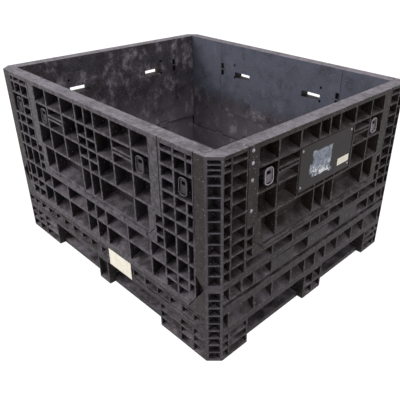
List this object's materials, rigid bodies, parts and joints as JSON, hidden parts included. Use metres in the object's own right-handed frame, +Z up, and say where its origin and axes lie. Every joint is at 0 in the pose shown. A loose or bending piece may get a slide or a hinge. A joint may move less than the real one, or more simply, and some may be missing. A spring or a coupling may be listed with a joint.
{
  "type": "collapsible bulk container",
  "caption": "Black moulded plastic bulk container on a footed pallet base, with ribbed walls that fold in and a drop-down access door in each side.",
  "frame": {"origin": "on the ground under the centre of the base", "axes": "+Z up, X along the long sides, -Y towards the front long side, +X towards the right end with the placard plate"},
  "size_m": [1.468, 1.239, 0.85],
  "materials": {
    "body_plastic": "scuffed and dusty satin",
    "runner_plastic": "worn and dusty",
    "plate_plastic": "satin",
    "steel": "dull",
    "cream_label": "matte"
  },
  "bodies": {
    "base": {"base_pallet": "body_plastic", "base_runner_frame": "runner_plastic", "right_end_wall": "body_plastic", "left_end_wall": "body_plastic", "right_end_wall_rod": "steel", "left_end_wall_rod": "steel", "front_wall_rod": "steel", "rear_wall_rod": "steel", "right_end_door_rod": "steel", "left_end_door_rod": "steel", "base_label": "cream_label"},
    "front_wall": {"front_wall": "body_plastic", "front_door_rod": "steel"},
    "front_door": {"front_door": "body_plastic"},
    "front_door_bolt_1": {"front_door_bolt_1": "steel"},
    "front_door_bolt_2": {"front_door_bolt_2": "steel"},
    "front_wall_bolt_1": {"front_wall_bolt_1": "steel"},
    "front_wall_bolt_2": {"front_wall_bolt_2": "steel"},
    "rear_wall": {"rear_wall": "body_plastic", "rear_door_rod": "steel"},
    "rear_door": {"rear_door": "body_plastic"},
    "rear_door_bolt_1": {"rear_door_bolt_1": "steel"},
    "rear_door_bolt_2": {"rear_door_bolt_2": "steel"},
    "rear_wall_bolt_1": {"rear_wall_bolt_1": "steel"},
    "rear_wall_bolt_2": {"rear_wall_bolt_2": "steel"},
    "right_end_door": {"right_end_door": "body_plastic", "placard_plate": "plate_plastic", "placard_label": "cream_label"},
    "right_end_door_bolt_1": {"right_end_door_bolt_1": "steel"},
    "right_end_door_bolt_2": {"right_end_door_bolt_2": "steel"},
    "left_end_door": {"left_end_door": "body_plastic"},
    "left_end_door_bolt_1": {"left_end_door_bolt_1": "steel"},
    "left_end_door_bolt_2": {"left_end_door_bolt_2": "steel"}
  },
  "joints": [
    {"name": "front_wall_fold", "type": "hinge", "parent": "base", "child": "front_wall", "pos_m": [0, -0.5605, 0.2273], "axis": [-1, 0, 0], "range_deg": [0, 90]},
    {"name": "front_door_drop", "type": "hinge", "parent": "front_wall", "child": "front_door", "pos_m": [0, -0.6115, 0.429], "axis": [1, 0, 0], "range_deg": [0, 180]},
    {"name": "front_door_bolt_1_slide", "type": "slide", "parent": "front_door", "child": "front_door_bolt_1", "axis": [-1, 0, 0], "range_m": [0, 0.018]},
    {"name": "front_door_bolt_2_slide", "type": "slide", "parent": "front_door", "child": "front_door_bolt_2", "axis": [1, 0, 0], "range_m": [0, 0.018]},
    {"name": "front_wall_bolt_1_slide", "type": "slide", "parent": "front_wall", "child": "front_wall_bolt_1", "axis": [-1, 0, 0], "range_m": [0, 0.009]},
    {"name": "front_wall_bolt_2_slide", "type": "slide", "parent": "front_wall", "child": "front_wall_bolt_2", "axis": [1, 0, 0], "range_m": [0, 0.009]},
    {"name": "rear_wall_fold", "type": "hinge", "parent": "base", "child": "rear_wall", "pos_m": [0, 0.5605, 0.2893], "axis": [1, 0, 0], "range_deg": [0, 90]},
    {"name": "rear_door_drop", "type": "hinge", "parent": "rear_wall", "child": "rear_door", "pos_m": [0, 0.6115, 0.429], "axis": [-1, 0, 0], "range_deg": [0, 180]},
    {"name": "rear_door_bolt_1_slide", "type": "slide", "parent": "rear_door", "child": "rear_door_bolt_1", "axis": [1, 0, 0], "range_m": [0, 0.018]},
    {"name": "rear_door_bolt_2_slide", "type": "slide", "parent": "rear_door", "child": "rear_door_bolt_2", "axis": [-1, 0, 0], "range_m": [0, 0.018]},
    {"name": "rear_wall_bolt_1_slide", "type": "slide", "parent": "rear_wall", "child": "rear_wall_bolt_1", "axis": [1, 0, 0], "range_m": [0, 0.009]},
    {"name": "rear_wall_bolt_2_slide", "type": "slide", "parent": "rear_wall", "child": "rear_wall_bolt_2", "axis": [-1, 0, 0], "range_m": [0, 0.009]},
    {"name": "right_end_door_drop", "type": "hinge", "parent": "base", "child": "right_end_door", "pos_m": [0.726, 0, 0.429], "axis": [0, 1, 0], "range_deg": [0, 180]},
    {"name": "right_end_door_bolt_1_slide", "type": "slide", "parent": "right_end_door", "child": "right_end_door_bolt_1", "axis": [0, -1, 0], "range_m": [0, 0.018]},
    {"name": "right_end_door_bolt_2_slide", "type": "slide", "parent": "right_end_door", "child": "right_end_door_bolt_2", "axis": [0, 1, 0], "range_m": [0, 0.018]},
    {"name": "left_end_door_drop", "type": "hinge", "parent": "base", "child": "left_end_door", "pos_m": [-0.726, 0, 0.429], "axis": [0, -1, 0], "range_deg": [0, 180]},
    {"name": "left_end_door_bolt_1_slide", "type": "slide", "parent": "left_end_door", "child": "left_end_door_bolt_1", "axis": [0, 1, 0], "range_m": [0, 0.018]},
    {"name": "left_end_door_bolt_2_slide", "type": "slide", "parent": "left_end_door", "child": "left_end_door_bolt_2", "axis": [0, -1, 0], "range_m": [0, 0.018]}
  ]
}
